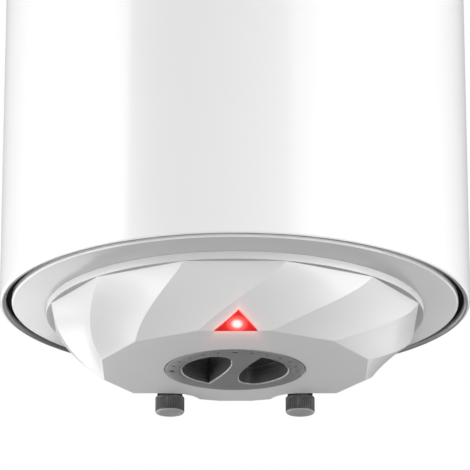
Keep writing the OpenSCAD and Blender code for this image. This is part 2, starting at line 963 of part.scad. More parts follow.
module bracket_bolts() {
    color("silver") in_frame() {
        bracket_bolt_holes(bracket_bolt_r, lug_face_y - 14, saddle_y + bracket_t - lug_face_y + 15);
        for (x = [-1, 1]) for (z = [-1, 1])
            translate([x * bracket_bolt_at[0], saddle_y + bracket_t, bracket_z + z * bracket_bolt_at[1]])
                rotate([-90, 0, 0]) hex_head(hex_r, 5.3);
    }
}

module bracket_nuts() {
    color("silver") in_frame() difference() {
        for (x = [-1, 1]) for (z = [-1, 1])
            translate([
                x * bracket_bolt_at[0], lug_face_y - lug_t - 6.5, bracket_z + z * bracket_bolt_at[1]
            ])
                rotate([-90, 0, 0]) hex_head(hex_r, 6.5);
        bracket_bolt_holes(bracket_bolt_r + run_gap, lug_face_y - 20, 30);
    }
}

// Block between the tank and the plane y1, at the height of the bracket
module lug_block(y1, half_h) {
    y0 = tank_r - 20;
    translate([-saddle_half, y0, bracket_z - half_h]) cube([2 * saddle_half, y1 - y0, 2 * half_h]);
}

// Folded channel welded to the tank, open above and below
module bracket_lug() {
    color("slategray") in_frame() difference() {
        lug_block(lug_face_y, bracket_h / 2);
        translate([-saddle_half + lug_t, 0, bracket_z - bracket_h])
            cube([2 * (saddle_half - lug_t), lug_face_y - lug_t, 2 * bracket_h]);
        rod(tank_r, bracket_z - bracket_h, 2 * bracket_h);
        bracket_bolt_holes(bracket_bolt_r + 0.5, lug_face_y - 20, 40);
    }
}

module wall_spacer() {
    color("black") in_frame() difference() {
        translate([0, casing_r - 5, spacer_z]) rotate([-90, 0, 0])
            cylinder(r = spacer_r, h = axis_to_wall - casing_r + 5);
        rod(casing_r + fit_gap / 3, 0, 200, $fn = fine);
        translate([0, 0, spacer_z]) rotate([-90, 0, 0]) {
            cylinder(r = spacer_screw_r + run_gap, h = axis_to_wall + 1);
            translate([0, 0, axis_to_wall - 8]) cylinder(r = spacer_head_r, h = 10);
        }
    }
}

module spacer_screw() {
    head_y = axis_to_wall - 8;
    color("silver") in_frame() translate([0, head_y, spacer_z]) rotate([90, 0, 0]) difference() {
        union() {
            cylinder(r = spacer_screw_r, h = head_y - casing_r + 7);
            translate([0, 0, -3]) cylinder(r = spacer_head_r - 0.5, h = 3);
        }
        for (a = [0, 90]) rotate([0, 0, a]) translate([-3, -0.5, -4]) cube([6, 1, 2.5]);
    }
}

outer_casing();
top_lid();
bottom_pan();
rim_seal();
insulation_foam();
tank_shell();
tank_top_dome();
tank_bottom_dome();
flange_collar();
flange_gasket();
heater_flange();
flange_bolts();
heating_element();
element_bushes();
thermostat_pocket();
anode_rod();
anode_nut();
earth_screw();
cold_nipple();
hot_nipple();
inlet_diffuser();
hot_outlet_tube();
cold_sleeve();
hot_sleeve();
pan_grommets();
cold_cap();
hot_cap();
thermostat_body();
thermostat_probe();
thermostat_spindle();
reset_button();
terminal_block();
terminal_screws();
live_lead();
neutral_lead();
load_lead();
earth_lead();
lamp_leads();
indicator_led();
lamp_holder();
lamp_lens();
swirl_cover();
cover_screws();
cable_gland();
gland_nut();
control_knob();
wall_bracket();
bracket_pad();
bracket_bolts();
bracket_nuts();
bracket_lug();
wall_spacer();
spacer_screw();
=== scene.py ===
"""Wall-hung tank water heater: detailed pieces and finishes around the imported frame.

Shapes are worked out in the heater's own millimetres (z = 0 at the casing's lower rim, the axis at
x = y = 0, +y to the wall) and then moved to the frame in metres.
"""

import json
import math

import bpy
from mathutils import Euler, Matrix, Vector

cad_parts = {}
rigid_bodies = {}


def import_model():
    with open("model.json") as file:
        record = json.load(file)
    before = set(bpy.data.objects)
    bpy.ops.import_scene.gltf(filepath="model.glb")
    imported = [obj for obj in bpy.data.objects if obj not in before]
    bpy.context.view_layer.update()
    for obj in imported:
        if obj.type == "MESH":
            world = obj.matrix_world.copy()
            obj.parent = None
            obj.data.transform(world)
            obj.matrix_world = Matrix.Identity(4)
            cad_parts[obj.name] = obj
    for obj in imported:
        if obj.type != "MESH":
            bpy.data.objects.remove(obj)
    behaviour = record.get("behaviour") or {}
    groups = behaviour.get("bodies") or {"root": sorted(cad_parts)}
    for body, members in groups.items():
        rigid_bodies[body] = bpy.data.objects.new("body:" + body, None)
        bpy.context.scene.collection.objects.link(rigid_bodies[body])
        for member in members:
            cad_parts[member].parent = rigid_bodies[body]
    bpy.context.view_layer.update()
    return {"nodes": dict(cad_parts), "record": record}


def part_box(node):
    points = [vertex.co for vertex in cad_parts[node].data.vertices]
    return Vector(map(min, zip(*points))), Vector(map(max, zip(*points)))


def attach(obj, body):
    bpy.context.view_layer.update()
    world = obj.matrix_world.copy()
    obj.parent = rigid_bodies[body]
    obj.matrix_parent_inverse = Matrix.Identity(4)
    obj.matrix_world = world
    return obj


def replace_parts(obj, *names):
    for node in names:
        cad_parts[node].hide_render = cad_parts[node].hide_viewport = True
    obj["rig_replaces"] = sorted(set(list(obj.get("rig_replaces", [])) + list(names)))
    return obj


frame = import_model()

MM = 0.001
TURN = 2 * math.pi

# ------------------------------------------------------------------ places, from the frame

casing_low, casing_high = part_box("outer_casing")
rim_centre = Vector((
    (casing_low.x + casing_high.x) / 2, (casing_low.y + casing_high.y) / 2, casing_low.z))
TO_FRAME = Matrix.Translation(rim_centre) @ Matrix.Scale(MM, 4)


def box_mm(node):
    """Lowest and highest corners of a CAD node in the heater's millimetres."""
    low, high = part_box(node)
    return (low - rim_centre) / MM, (high - rim_centre) / MM


casing_r = (casing_high.x - casing_low.x) / 2 / MM
lid_foot = box_mm("outer_casing")[1].z
lid_top = box_mm("top_lid")[1].z
pan_low, pan_high = box_mm("bottom_pan")
pan_r = (pan_high.x - pan_low.x) / 2
cover_low, cover_high = box_mm("swirl_cover")
disc_r = (cover_high.x - cover_low.x) / 2
face_z = cover_low.z
disc_top = pan_low.z
knob_low, knob_high = box_mm("control_knob")
knob_r = (knob_high.x - knob_low.x) / 2
bracket_low, bracket_high = box_mm("wall_bracket")
wall_y = bracket_high.y
bracket_mid = (bracket_low.z + bracket_high.z) / 2
cap_low, cap_high = box_mm("cold_cap")
cap_r = (cap_high.x - cap_low.x) / 2
pipe_x = (cap_low.x + cap_high.x) / 2
pipe_y = (cap_low.y + cap_high.y) / 2
gland_low, gland_high = box_mm("cable_gland")
gland_z = (gland_low.z + gland_high.z) / 2

# Sizes that no box tells: the disc's depth, the face's corner radius, the wall side of the cover
disc_foot = disc_top - 5.8
face_r = 102.3
rear_y = 84.0
notch_r = 24.0
notch_mid_y = 87.0
pipe_gap_r = 17.3


# ------------------------------------------------------------------ outlines

def circle(r, count, centre=(0, 0)):
    return [(centre[0] + r * math.cos(TURN * i / count), centre[1] + r * math.sin(TURN * i / count))
            for i in range(count)]


def ribbed_ring(r, z, depth, ribs, flank, centre=(0, 0)):
    """Ring of points with a groove between each two ribs; flank is the depth's share on its sides."""
    shares = (0, 0, flank, 1, 1, flank)
    points = 6 * ribs
    made = []
    for i in range(points):
        a = TURN * i / points
        reach = r - depth * shares[i % 6]
        made.append((centre[0] + reach * math.cos(a), centre[1] + reach * math.sin(a), z))
    return made


def arc(centre, r, start, end, steps):
    """Points on an arc, its angles in degrees."""
    return [(centre[0] + r * math.cos(math.radians(start + (end - start) * i / steps)),
             centre[1] + r * math.sin(math.radians(start + (end - start) * i / steps)))
            for i in range(steps + 1)]


def filleted(points, radii, steps=4):
    """Closed outline with each corner rounded to its own radius; 0 leaves it sharp."""
    made = []
    for i, here in enumerate(points):
        r = radii[i] if isinstance(radii, (list, tuple)) else radii
        here = Vector(here)
        if r <= 0:
            made.append(tuple(here))
            continue
        back = (Vector(points[i - 1]) - here).normalized()
        on = (Vector(points[(i + 1) % len(points)]) - here).normalized()
        half = math.acos(max(-1, min(1, back.dot(on)))) / 2
        centre = here + (back + on).normalized() * (r / math.sin(half))
        first = here + back * (r / math.tan(half)) - centre
        last = here + on * (r / math.tan(half)) - centre
        sweep = math.atan2(first.x * last.y - first.y * last.x, first.dot(last))
        for k in range(steps + 1):
            a = sweep * k / steps
            made.append((centre.x + first.x * math.cos(a) - first.y * math.sin(a),
                         centre.y + first.x * math.sin(a) + first.y * math.cos(a)))
    return made


def grown(points, amount, weights=None):
    """Counter-clockwise outline moved outwards by amount, mitred; weights scale it point by point."""
    made = []
    for i, here in enumerate(points):
        here = Vector(here)
        a = (here - Vector(points[i - 1])).normalized()
        b = (Vector(points[(i + 1) % len(points)]) - here).normalized()
        side = Vector((a.y + b.y, -a.x - b.x)).normalized()
        reach = 1 / max(0.45, side.x * a.y - side.y * a.x)
        share = weights[i] if weights else 1
        made.append(tuple(here + side * amount * reach * share))
    return made


# ------------------------------------------------------------------ meshes

def piece(name, verts, faces, matrix=None, smooth=30):
    """New object from millimetre points, smooth up to an edge angle in degrees."""
    mesh = bpy.data.meshes.new(name)
    mesh.from_pydata([tuple(v) for v in verts], [], faces)
    mesh.validate()
    if matrix is not None:
        mesh.transform(matrix)
    thing = bpy.data.objects.new(name, mesh)
    bpy.context.scene.collection.objects.link(thing)
    shade(thing, smooth)
    return thing


def shade(thing, smooth):
    mesh = thing.data
    mesh.polygons.foreach_set("use_smooth", [True] * len(mesh.polygons))
    mesh.set_sharp_from_angle(angle=math.radians(smooth))
    mesh.update()


def stack(levels, ends="flat"):
    """Points and faces of a solid through loops of equal length, from its foot to its top. Its ends
    are flat, or "joined" makes the last loop meet the first, as in a tube."""
    n = len(levels[0])
    verts = [p for level in levels for p in level]
    faces = [[i * n + k, i * n + (k + 1) % n, (i + 1) * n + (k + 1) % n, (i + 1) * n + k]
             for i in range(len(levels) - 1) for k in range(n)]
    last = (len(levels) - 1) * n
    if ends == "joined":
        faces += [[last + k, last + (k + 1) % n, (k + 1) % n, k] for k in range(n)]
    else:
        faces += [list(range(n - 1, -1, -1)), [last + k for k in range(n)]]
    return verts, faces


def prism(outline, z0, z1):
    return stack([[(x, y, z) for x, y in outline] for z in (z0, z1)])


def lathe(profile, angles=180, lift=None):
    """Points and faces of a closed (r, z) outline turned about z. A point at r = 0 becomes one vertex.
    angles is a count, or a list in radians; lift(angle, r, z) is added to each radius."""
    if isinstance(angles, int):
        angles = [TURN * i / angles for i in range(angles)]
    verts, rings = [], []
    for r, z in profile:
        if r < 1e-6:
            rings.append([len(verts)] * len(angles))
            verts.append((0, 0, z))
            continue
        rings.append(list(range(len(verts), len(verts) + len(angles))))
        for a in angles:
            reach = r + (lift(a, r, z) if lift else 0)
            verts.append((reach * math.cos(a), reach * math.sin(a), z))
    faces = []
    for i in range(len(profile)):
        lower, upper = rings[i], rings[(i + 1) % len(profile)]
        if lower[0] == lower[1] and upper[0] == upper[1]:
            continue
        for k in range(len(angles)):
            m = (k + 1) % len(angles)
            faces.append(list(dict.fromkeys([lower[k], lower[m], upper[m], upper[k]])))
    return verts, faces


def combine(thing, other, operation="DIFFERENCE"):
    """Applies a boolean of another object to thing, and removes the other."""
    cut = thing.modifiers.new("cut", "BOOLEAN")
    cut.operation, cut.solver, cut.object = operation, "EXACT", other
    settle(thing)
    bpy.data.objects.remove(other)


def settle(thing):
    """Applies all of an object's modifiers."""
    bpy.context.view_layer.update()
    seen = thing.evaluated_get(bpy.context.evaluated_depsgraph_get())
    mesh = bpy.data.meshes.new_from_object(seen)
    thing.modifiers.clear()
    thing.data = mesh
    mesh.name = thing.name


def soften(thing, width, limit=40, segments=2, smooth=35):
    """Rounds an object's sharp edges by a width in millimetres."""
    edge = thing.modifiers.new("edge", "BEVEL")
    edge.width, edge.segments, edge.limit_method = width, segments, "ANGLE"
    edge.angle_limit = math.radians(limit)
    edge.use_clamp_overlap = True
    edge.harden_normals = False
    settle(thing)
    shade(thing, smooth)


def scratch(verts, faces):
    """Object that is only a step on the way: a cutter, or a piece that is not named yet."""
    return piece("scratch", verts, faces)


def taken(thing):
    """Points and faces of a scratch object, which is removed."""
    mesh = thing.data
    part = [tuple(v.co) for v in mesh.vertices], [list(f.vertices) for f in mesh.polygons]
    bpy.data.objects.remove(thing)
    return part


def placed(thing, body, slot, materials, *nodes, smooth=30, by_face=None):
    """Moves a finished piece from millimetres to the frame, and gives it its body and finishes.
    by_face holds, face by face, which of several finishes it has."""
    thing.data.transform(TO_FRAME)
    shade(thing, smooth)
    thing.data.materials.clear()
    for name in materials:
        thing.data.materials.append(paint[name])
    if by_face:
        thing.data.polygons.foreach_set("material_index", by_face)
    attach(thing, body)
    if nodes:
        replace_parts(thing, *nodes)


def joined(name, parts):
    """One object out of several lists of (verts, faces)."""
    verts, faces = [], []
    for v, f in parts:
        faces += [[i + len(verts) for i in face] for face in f]
        verts += [tuple(p) for p in v]
    return piece(name, verts, faces)


def moved(part, matrix):
    verts, faces = part
    return [tuple(matrix @ Vector(v)) for v in verts], faces


def shift(x, y, z):
    return Matrix.Translation((x, y, z))


def spin(degrees, axis):
    return Matrix.Rotation(math.radians(degrees), 4, axis)


# ------------------------------------------------------------------ finishes

def finish(name, colour, rough, metallic=0.0, coat=0.0, coat_rough=0.06, ior=1.5, tone=0.03, tone_mm=60,
           rough_span=0.06, rough_mm=25, bump=((0.6, 0.15, 0.02),), stretch=(1, 1, 1), tint=None,
           dust=0.0, wear=None):
    """Procedural finish. bump rows are (size in mm, strength, height in mm); tone is the colour's drift
    over tone_mm; tint is a second colour that the drift leans to; dust lies on upward faces; wear is
    how far sharp edges turn to a colour of their own."""
    m = bpy.data.materials.new(name)
    m.use_nodes = True
    tree = m.node_tree
    nodes, link = tree.nodes, tree.links.new
    shader = nodes["Principled BSDF"]
    shader.inputs["Metallic"].default_value = metallic
    shader.inputs["IOR"].default_value = ior
    shader.inputs["Coat Weight"].default_value = coat
    shader.inputs["Coat Roughness"].default_value = coat_rough
    place = nodes.new("ShaderNodeTexCoord").outputs["Object"]
    if stretch != (1, 1, 1):
        mapping = nodes.new("ShaderNodeMapping")
        mapping.inputs["Scale"].default_value = stretch
        link(place, mapping.inputs["Vector"])
        place = mapping.outputs["Vector"]

    def noise(size_mm, detail=3.0, blur=0.5):
        n = nodes.new("ShaderNodeTexNoise")
        n.inputs["Scale"].default_value = 1 / (size_mm * MM)
        n.inputs["Detail"].default_value = detail
        n.inputs["Roughness"].default_value = blur
        link(place, n.inputs["Vector"])
        return n.outputs["Fac"]

    def spread(value, low, high, start=0.3, end=0.7):
        r = nodes.new("ShaderNodeMapRange")
        r.inputs["From Min"].default_value, r.inputs["From Max"].default_value = start, end
        r.inputs["To Min"].default_value, r.inputs["To Max"].default_value = low, high
        link(value, r.inputs["Value"])
        return r.outputs["Result"]

    def blend(share, first, second):
        mix = nodes.new("ShaderNodeMix")
        mix.data_type = "RGBA"
        link(share, mix.inputs["Factor"])
        for socket, value in ((mix.inputs["A"], first), (mix.inputs["B"], second)):
            if isinstance(value, tuple):
                socket.default_value = (*value[:3], 1)
            else:
                link(value, socket)
        return mix.outputs["Result"]

    dark = tuple(c * (1 - tone) for c in colour)
    light = tuple(min(1, c * (1 + tone)) for c in (tint or colour))
    seen = blend(spread(noise(tone_mm), 0, 1), dark, light)
    if wear:
        share, wear_colour = wear
        worn = nodes.new("ShaderNodeNewGeometry").outputs["Pointiness"]
        seen = blend(spread(worn, 0, share, 0.52, 0.62), seen, wear_colour)
    if dust:
        up = nodes.new("ShaderNodeSeparateXYZ")
        link(nodes.new("ShaderNodeNewGeometry").outputs["Normal"], up.inputs["Vector"])
        both = nodes.new("ShaderNodeMath")
        both.operation = "MULTIPLY"
        link(spread(up.outputs["Z"], 0, dust, 0.6, 1.0), both.inputs[0])
        link(spread(noise(9, 6, 0.7), 0.2, 1.0), both.inputs[1])
        seen = blend(both.outputs[0], seen, (0.55, 0.53, 0.5))
    link(seen, shader.inputs["Base Color"])
    link(spread(noise(rough_mm, 5, 0.6), rough - rough_span, rough + rough_span),
         shader.inputs["Roughness"])
    previous = None
    for size, strength, height in bump:
        b = nodes.new("ShaderNodeBump")
        b.inputs["Strength"].default_value = strength
        b.inputs["Distance"].default_value = height * MM
        link(noise(size), b.inputs["Height"])
        if previous:
            link(previous, b.inputs["Normal"])
        previous = b.outputs["Normal"]
    if previous:
        link(previous, shader.inputs["Normal"])
    return m


ORANGE_PEEL = ((1.8, 0.10, 0.012), (9, 0.06, 0.03))
FINE_GRAIN = ((0.35, 0.20, 0.02), (2.5, 0.05, 0.02))
BRUSHED = ((0.25, 0.25, 0.02),)

paint = {
    "casing_enamel": finish("casing_enamel", (0.83, 0.83, 0.83), 0.34, coat=0.5, coat_rough=0.12,
                            tone=0.006, tone_mm=220, bump=ORANGE_PEEL, rough_span=0.015),
    "lid_enamel": finish("lid_enamel", (0.83, 0.83, 0.83), 0.34, coat=0.5, coat_rough=0.12, tone=0.01,
                         tone_mm=160, bump=ORANGE_PEEL, dust=0.12),
    "pan_plastic": finish("pan_plastic", (0.53, 0.53, 0.535), 0.34, coat=0.35, coat_rough=0.14,
                          tone=0.01, tone_mm=90, rough_span=0.02, bump=((0.5, 0.06, 0.008),)),
    "cover_plastic": finish("cover_plastic", (0.70, 0.70, 0.70), 0.32, coat=0.2, coat_rough=0.15,
                            tone=0.006, tone_mm=120, rough_span=0.01, bump=((0.5, 0.04, 0.004),)),
    "knob_plastic": finish("knob_plastic", (0.165, 0.165, 0.167), 0.42, tone=0.05, tone_mm=30,
                           bump=FINE_GRAIN, wear=(0.5, (0.30, 0.30, 0.30))),
    "cap_plastic": finish("cap_plastic", (0.055, 0.055, 0.057), 0.40, tone=0.08, tone_mm=6,
                          bump=FINE_GRAIN, wear=(0.5, (0.16, 0.16, 0.16))),
    "black_rubber": finish("black_rubber", (0.005, 0.005, 0.005), 0.8, ior=1.15, tone=0.2, tone_mm=14,
                           bump=((0.8, 0.3, 0.04),)),
    "grey_rubber": finish("grey_rubber", (0.16, 0.16, 0.16), 0.6, tone=0.1, tone_mm=10,
                          bump=((0.8, 0.3, 0.04),)),
    "black_plastic": finish("black_plastic", (0.006, 0.006, 0.006), 0.6, ior=1.2, tone=0.15, tone_mm=12,
                            bump=FINE_GRAIN),
    "white_plastic": finish("white_plastic", (0.72, 0.71, 0.68), 0.4, tone=0.03, tone_mm=20,
                            bump=FINE_GRAIN),
    "pu_foam": finish("pu_foam", (0.72, 0.58, 0.30), 0.9, tone=0.16, tone_mm=18, tint=(0.80, 0.69, 0.44),
                      bump=((1.6, 0.8, 0.6), (6, 0.5, 1.2))),
    "tank_enamel": finish("tank_enamel", (0.035, 0.06, 0.13), 0.2, coat=0.5, tone=0.35, tone_mm=4,
                          bump=((2.5, 0.2, 0.05),)),
    "plated_steel": finish("plated_steel", (0.66, 0.66, 0.64), 0.3, metallic=1.0, tone=0.1, tone_mm=5,
                           tint=(0.70, 0.68, 0.58), rough_span=0.12, rough_mm=3,
                           bump=((0.5, 0.15, 0.01),), wear=(0.6, (0.80, 0.80, 0.79))),
    "stainless": finish("stainless", (0.60, 0.59, 0.57), 0.28, metallic=1.0, tone=0.06, tone_mm=8,
                        stretch=(1, 1, 0.05), bump=BRUSHED, rough_span=0.1, rough_mm=2),
    "brass_parts": finish("brass_parts", (0.78, 0.56, 0.25), 0.26, metallic=1.0, tone=0.1, tone_mm=5,
                          bump=((0.4, 0.15, 0.01),)),
    "magnesium": finish("magnesium", (0.42, 0.42, 0.43), 0.6, metallic=0.8, tone=0.15, tone_mm=6,
                        bump=((0.8, 0.4, 0.05),)),
    "ceramic_white": finish("ceramic_white", (0.80, 0.78, 0.74), 0.35, tone=0.04, tone_mm=3,
                            bump=((0.4, 0.3, 0.02),)),
    "led_red": finish("led_red", (0.75, 0.05, 0.04), 0.15, tone=0.05, tone_mm=2, bump=()),
    "button_red": finish("button_red", (0.55, 0.02, 0.02), 0.35, tone=0.05, tone_mm=3, bump=FINE_GRAIN),
    "bracket_paint": finish("bracket_paint", (0.60, 0.60, 0.60), 0.45, tone=0.03, tone_mm=30,
                            bump=((0.9, 0.35, 0.05),)),
    "lead_brown": finish("lead_brown", (0.12, 0.045, 0.02), 0.4, bump=FINE_GRAIN),
    "lead_blue": finish("lead_blue", (0.02, 0.08, 0.42), 0.4, bump=FINE_GRAIN),
    "lead_green": finish("lead_green", (0.10, 0.42, 0.05), 0.4, bump=FINE_GRAIN),
    "lead_white": finish("lead_white", (0.75, 0.75, 0.73), 0.4, bump=FINE_GRAIN),

    # Second finishes, on some of a piece's faces only; among them are painted shade and painted
    # highlights
    # Painted shade: a darker copy of the cover plastic for the disc's flat underside in the corner
    # beside the facets
    "disc_painted_shade": finish("disc_painted_shade", (0.42, 0.42, 0.42), 0.5, tone=0.03, tone_mm=40,
                          bump=((0.5, 0.04, 0.004),)),
    # Painted highlight: a lighter copy of the pan plastic for its rounded outer edge
    "pan_edge_painted_highlight": finish("pan_edge_painted_highlight", (0.92, 0.92, 0.92), 0.2, coat=0.8, coat_rough=0.08, tone=0.01,
                       bump=((2, 0.05, 0.01),)),
    # Painted shade: a dark copy of the enamel for the inner side of the rolled rim
    "rim_painted_shade": finish("rim_painted_shade", (0.22, 0.22, 0.22), 0.4, coat=0.3, tone=0.06, tone_mm=15,
                         bump=ORANGE_PEEL),
    # Painted shade: a darker copy of the knob plastic for the inside of its pockets
    "knob_pocket_painted_shade": finish("knob_pocket_painted_shade", (0.055, 0.055, 0.056), 0.5, tone=0.06, tone_mm=12,
                          bump=((0.5, 0.3, 0.03),)),
    # Painted highlight: a lighter copy of the knob plastic for the pockets' bevelled mouths
    "knob_edge_painted_highlight": finish("knob_edge_painted_highlight", (0.36, 0.36, 0.36), 0.3, tone=0.2, tone_mm=5, bump=FINE_GRAIN),
    "cap_face": finish("cap_face", (0.33, 0.33, 0.33), 0.4, tone=0.05, tone_mm=8, bump=FINE_GRAIN),
    "mark_paint": finish("mark_paint", (0.03, 0.03, 0.03), 0.5, tone=0.1, tone_mm=1, bump=FINE_GRAIN),
}

# ------------------------------------------------------------------ light of the lamp

CORNERS = 12

# Lamp window: its base lies on the front edge of the face, y goes up the facet and z out of it
LAMP_AT = Vector((0.5, -face_r * math.cos(math.pi / CORNERS), face_z))
LAMP_TILT = math.radians(147)
LAMP = Matrix.Translation(LAMP_AT) @ Matrix.Rotation(LAMP_TILT, 4, "X")
LAMP_OUTLINE = [(-16, 0), (16, 0), (2, 19.75)]
LED_AT = (1.0, 7.1)

# The light fades out over GLOW_FADE, on the lens and on the cover. Distances from each side of the
# lens count by that side's share, so it goes furthest below the base. It also fades beyond GLOW_HALF
# to the left and right of the lens's middle.
GLOW_FADE = 14
GLOW_SHARES = (0.3, 1.0, 1.0)
GLOW_HALF = 13


def lamp_place(nodes, link):
    """Coordinates in the lamp window's own millimetres."""
    mapping = nodes.new("ShaderNodeMapping")
    mapping.vector_type = "TEXTURE"
    mapping.inputs["Location"].default_value = TO_FRAME @ LAMP_AT
    mapping.inputs["Rotation"].default_value = Euler((LAMP_TILT, 0, 0))
    mapping.inputs["Scale"].default_value = (MM, MM, MM)
    link(nodes.new("ShaderNodeTexCoord").outputs["Object"], mapping.inputs["Vector"])
    return mapping.outputs["Vector"]


def shine(m, distance, colours):
    """Lets a finish give light of its own; colours are (share of the fade, colour) rows."""
    nodes, link = m.node_tree.nodes, m.node_tree.links.new
    reach = nodes.new("ShaderNodeMapRange")
    reach.inputs["From Max"].default_value = GLOW_FADE
    link(distance, reach.inputs["Value"])
    ramp = nodes.new("ShaderNodeValToRGB")
    stops = ramp.color_ramp.elements
    for i, (at, colour) in enumerate(colours):
        stop = stops[0] if i == 0 else stops[-1] if i == len(colours) - 1 else stops.new(at)
        stop.position, stop.color = at, (*colour, 1)
    link(reach.outputs["Result"], ramp.inputs["Fac"])
    shader = nodes["Principled BSDF"]
    link(ramp.outputs["Color"], shader.inputs["Emission Color"])
    shader.inputs["Emission Strength"].default_value = 1.0


def lens_finish():
    """Red lens whose middle glows white where the lamp behind it shines through."""
    m = finish("lens_red", (0.72, 0.012, 0.012), 0.16, coat=0.4, coat_rough=0.05, tone=0.06, tone_mm=5,
               bump=((1.2, 0.1, 0.02),))
    nodes, link = m.node_tree.nodes, m.node_tree.links.new
    flat = nodes.new("ShaderNodeVectorMath")
    flat.operation = "MULTIPLY"
    flat.inputs[1].default_value = (1, 1, 0)
    link(lamp_place(nodes, link), flat.inputs[0])
    away = nodes.new("ShaderNodeVectorMath")
    away.operation = "DISTANCE"
    away.inputs[1].default_value = (*LED_AT, 0)
    link(flat.outputs["Vector"], away.inputs[0])
    shine(m, away.outputs["Value"],
          ((0.0, (1, 0.97, 0.95)), (0.17, (1, 0.93, 0.9)), (0.34, (0.75, 0.16, 0.14)),
           (0.6, (0.30, 0.01, 0.01)), (1.0, (0.10, 0.0, 0.0))))
    return m


paint["lens_red"] = lens_finish()


def add_lamp_glow(m):
    """Pink light from the lamp on the plastic around it, by the distance from the lens's edge."""
    nodes, link = m.node_tree.nodes, m.node_tree.links.new
    place = lamp_place(nodes, link)
    limits = [((-1, 0), GLOW_HALF, 1.0), ((1, 0), GLOW_HALF, 1.0)]
    for i, a in enumerate(LAMP_OUTLINE):
        b = LAMP_OUTLINE[(i + 1) % 3]
        way = Vector((b[0] - a[0], b[1] - a[1])).normalized()
        out = (way.y, -way.x)
        limits.append((out, out[0] * a[0] + out[1] * a[1], GLOW_SHARES[i]))
    furthest = None
    for out, start, share in limits:
        side = nodes.new("ShaderNodeVectorMath")
        side.operation = "DOT_PRODUCT"
        side.inputs[1].default_value = (*out, 0)
        link(place, side.inputs[0])
        gap = nodes.new("ShaderNodeMath")
        gap.operation = "MULTIPLY_ADD"
        gap.inputs[1].default_value = share
        gap.inputs[2].default_value = -share * start
        link(side.outputs["Value"], gap.inputs[0])
        if furthest:
            most = nodes.new("ShaderNodeMath")
            most.operation = "MAXIMUM"
            link(furthest, most.inputs[0])
            link(gap.outputs[0], most.inputs[1])
            furthest = most.outputs[0]
        else:
            furthest = gap.outputs[0]
    shine(m, furthest,
          ((0.0, (0.48, 0.17, 0.13)), (0.08, (0.34, 0.10, 0.08)), (0.2, (0.19, 0.05, 0.042)),
           (0.45, (0.06, 0.014, 0.012)), (1.0, (0, 0, 0))))


add_lamp_glow(paint["cover_plastic"])


# ------------------------------------------------------------------ casing, lid and pan

sheet = 0.8
rim_r = 2.45
rim_in = casing_r - 2 * rim_r
rim_leg = 8

# Folded upright seam at the back; the angles are in degrees to either side of its middle
seam_at = math.radians(68)
seam_proud = 0.5
seam_flat, seam_foot = 1.04, 1.2


def seam_lift(angle, r, z):
    on_seam = abs(angle - seam_at) < math.radians(seam_flat + 0.01)
    return seam_proud if on_seam and r > casing_r - 0.1 and z < lid_foot - 2 else 0


def casing_angles():
    """One step each degree, and closer ones at the seam."""
    even = [TURN * i / 360 for i in range(360)]
    clear = [a for a in even if abs(a - seam_at) > math.radians(seam_foot + 0.05)]
    near = [seam_at + math.radians(d) for d in (-seam_foot, -seam_flat, seam_flat, seam_foot)]
    return sorted(clear + near + [seam_at])


def from_axis(face):
    return math.hypot(face.center.x, face.center.y)


casing_profile = (
    [(casing_r - rim_r + rim_r * math.cos(a), rim_r + rim_r * math.sin(a))
     for a in [-math.pi + math.pi * i / 16 for i in range(16)]]
    + [(casing_r, z) for z in (rim_r, 30, 120, 300, 500, 700, lid_foot - 2.2, lid_foot - 1.9)]
    + arc((casing_r - 0.5, lid_foot - 0.5), 0.5, 0, 90, 4)
    + [(casing_r - sheet, lid_foot), (casing_r - sheet, rim_r)]
    + [(casing_r - rim_r + (rim_r - sheet) * math.cos(a), rim_r + (rim_r - sheet) * math.sin(a))
       for a in [-math.pi * i / 12 for i in range(1, 12)]]
    + [(rim_in + sheet, rim_r), (rim_in + sheet, rim_leg), (rim_in + 0.3, rim_leg + 0.2),
       (rim_in, rim_leg)]
)
casing = piece("casing_shell", *lathe(casing_profile, casing_angles(), seam_lift))
# The rolled rim's inner faces get the painted shade finish
placed(casing, "heater", "casing_enamel", ["casing_enamel", "rim_painted_shade"], "outer_casing",
       by_face=[int(from_axis(f) < casing_r - rim_r + 1.1 and f.center.z < rim_r + 6)
                for f in casing.data.polygons])

edge_r = 12.0
lid_wall = 2
lid_skirt = 15
lid_seat = lid_foot + 0.02
bead_r = 0.6
skirt_r = casing_r - sheet - 0.3
edge_at = (casing_r - edge_r, lid_foot + 2)
crown_edge = arc(edge_at, edge_r, 0, 86.4, 14)
crown_r, crown_z = crown_edge[-1]
crown = [(crown_r * s, crown_z + (lid_top - crown_z) * (1 - s * s)) for s in
         (0.9, 0.78, 0.64, 0.5, 0.36, 0.22, 0.1)] + [(0, lid_top)]
lid_profile = (
    [(skirt_r - lid_wall, lid_foot - lid_skirt), (skirt_r, lid_foot - lid_skirt), (skirt_r, lid_seat),
     (casing_r - bead_r, lid_seat)]
    + arc((casing_r - bead_r, lid_seat + bead_r), bead_r, -90, 0, 4)[1:]
    + crown_edge[1:] + crown
    + [(0, lid_top - lid_wall), (crown_r, crown_z - lid_wall), (edge_at[0], lid_foot + edge_r)]
    + arc(edge_at, edge_r - lid_wall, 80, 0, 6)
    + [(skirt_r - lid_wall, lid_foot + 1)]
)
placed(piece("lid_shell", *lathe(lid_profile, 300)), "heater", "lid_enamel", ["lid_enamel"], "top_lid")

